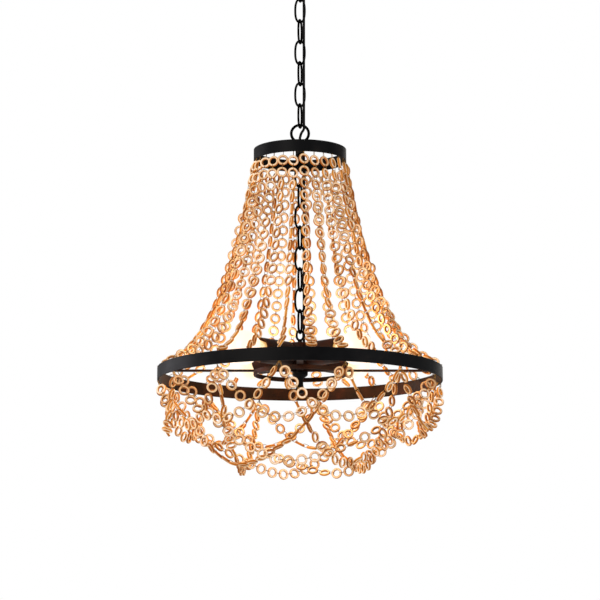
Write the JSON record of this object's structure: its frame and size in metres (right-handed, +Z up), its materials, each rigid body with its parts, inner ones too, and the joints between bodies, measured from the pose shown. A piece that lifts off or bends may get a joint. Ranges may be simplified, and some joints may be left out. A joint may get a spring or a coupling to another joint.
{
  "type": "beaded chandelier",
  "caption": "Chain-hung chandelier: a small and a big flat hoop joined by strands of flat ring beads, with bead swags below and lamps on a spoked frame inside.",
  "frame": {"origin": "the middle of the mounting bar's top face, on the ceiling", "axes": "+Z up, towards the ceiling; -Y towards the side that the picture shows; +X to the picture's right"},
  "size_m": [0.5066, 0.508, 0.9782],
  "materials": {
    "iron": "matte black-bronze paint, slightly worn",
    "beads": "unvarnished pale wood with darker edges",
    "cord": "matte black sleeve",
    "bulb": "frosted, warm"
  },
  "bodies": {
    "ceiling_plate": {"mounting_bar": "iron", "canopy": "iron", "canopy_loop": "iron", "supply_cord": "cord"},
    "link_1": {"chain_link_1": "iron"},
    "link_2": {"chain_link_2": "iron"},
    "link_3": {"chain_link_3": "iron"},
    "link_4": {"chain_link_4": "iron"},
    "link_5": {"chain_link_5": "iron"},
    "link_6": {"chain_link_6": "iron"},
    "link_7": {"chain_link_7": "iron"},
    "lamp_frame": {"crown_loop": "iron", "crown_hoop": "iron", "under_loop": "iron", "inner_chain": "iron", "inner_cord": "cord", "hub_loop": "iron", "lamp_hub": "iron", "finial": "iron", "socket_cup_1": "iron", "socket_cup_2": "iron", "socket_cup_3": "iron", "socket_cup_4": "iron", "spider": "iron", "big_hoop": "iron", "strand_01": "beads", "strand_02": "beads", "strand_03": "beads", "strand_04": "beads", "strand_05": "beads", "strand_06": "beads", "strand_07": "beads", "strand_08": "beads", "strand_09": "beads", "strand_10": "beads", "strand_11": "beads", "strand_12": "beads", "strand_13": "beads", "strand_14": "beads", "strand_15": "beads", "strand_16": "beads", "strand_17": "beads", "strand_18": "beads", "strand_19": "beads", "strand_20": "beads", "strand_21": "beads", "strand_22": "beads", "strand_23": "beads", "strand_24": "beads", "strand_25": "beads", "strand_26": "beads", "strand_27": "beads", "strand_28": "beads", "garland_outer": "beads", "garland_inner": "beads"},
    "bulb_body_1": {"bulb_1": "bulb"},
    "bulb_body_2": {"bulb_2": "bulb"},
    "bulb_body_3": {"bulb_3": "bulb"},
    "bulb_body_4": {"bulb_4": "bulb"}
  },
  "joints": [
    {"name": "link_1_swing", "type": "hinge", "parent": "ceiling_plate", "child": "link_1", "pos_m": [0, 0, -0.0739], "axis": [1, 0, 0], "range_deg": [-12, 12], "deforming": ["supply_cord"]},
    {"name": "link_2_swing", "type": "hinge", "parent": "link_1", "child": "link_2", "pos_m": [0, 0, -0.1129], "axis": [0.342, 0.9397, 0], "range_deg": [-12, 12], "deforming": ["supply_cord"]},
    {"name": "link_3_swing", "type": "hinge", "parent": "link_2", "child": "link_3", "pos_m": [0, 0, -0.1524], "axis": [1, 0, 0], "range_deg": [-12, 12], "deforming": ["supply_cord"]},
    {"name": "link_4_swing", "type": "hinge", "parent": "link_3", "child": "link_4", "pos_m": [0, 0, -0.1919], "axis": [0.342, 0.9397, 0], "range_deg": [-12, 12], "deforming": ["supply_cord"]},
    {"name": "link_5_swing", "type": "hinge", "parent": "link_4", "child": "link_5", "pos_m": [0, 0, -0.2314], "axis": [1, 0, 0], "range_deg": [-12, 12], "deforming": ["supply_cord"]},
    {"name": "link_6_swing", "type": "hinge", "parent": "link_5", "child": "link_6", "pos_m": [0, 0, -0.2709], "axis": [0.342, 0.9397, 0], "range_deg": [-12, 12], "deforming": ["supply_cord"]},
    {"name": "link_7_swing", "type": "hinge", "parent": "link_6", "child": "link_7", "pos_m": [0, 0, -0.3104], "axis": [1, 0, 0], "range_deg": [-12, 12], "deforming": ["supply_cord"]},
    {"name": "frame_swing", "type": "hinge", "parent": "link_7", "child": "lamp_frame", "pos_m": [0, 0, -0.3499], "axis": [0.342, 0.9397, 0], "range_deg": [-12, 12], "deforming": ["supply_cord"]},
    {"name": "bulb_1_turn", "type": "hinge", "parent": "lamp_frame", "child": "bulb_body_1", "pos_m": [0, 0, -0.7682], "axis": [0.7071, 0.7071, 0], "range_deg": [0, 360]},
    {"name": "bulb_2_turn", "type": "hinge", "parent": "lamp_frame", "child": "bulb_body_2", "pos_m": [0, 0, -0.7682], "axis": [-0.7071, 0.7071, 0], "range_deg": [0, 360]},
    {"name": "bulb_3_turn", "type": "hinge", "parent": "lamp_frame", "child": "bulb_body_3", "pos_m": [0, 0, -0.7682], "axis": [-0.7071, -0.7071, 0], "range_deg": [0, 360]},
    {"name": "bulb_4_turn", "type": "hinge", "parent": "lamp_frame", "child": "bulb_body_4", "pos_m": [0, 0, -0.7682], "axis": [0.7071, -0.7071, 0], "range_deg": [0, 360]}
  ]
}
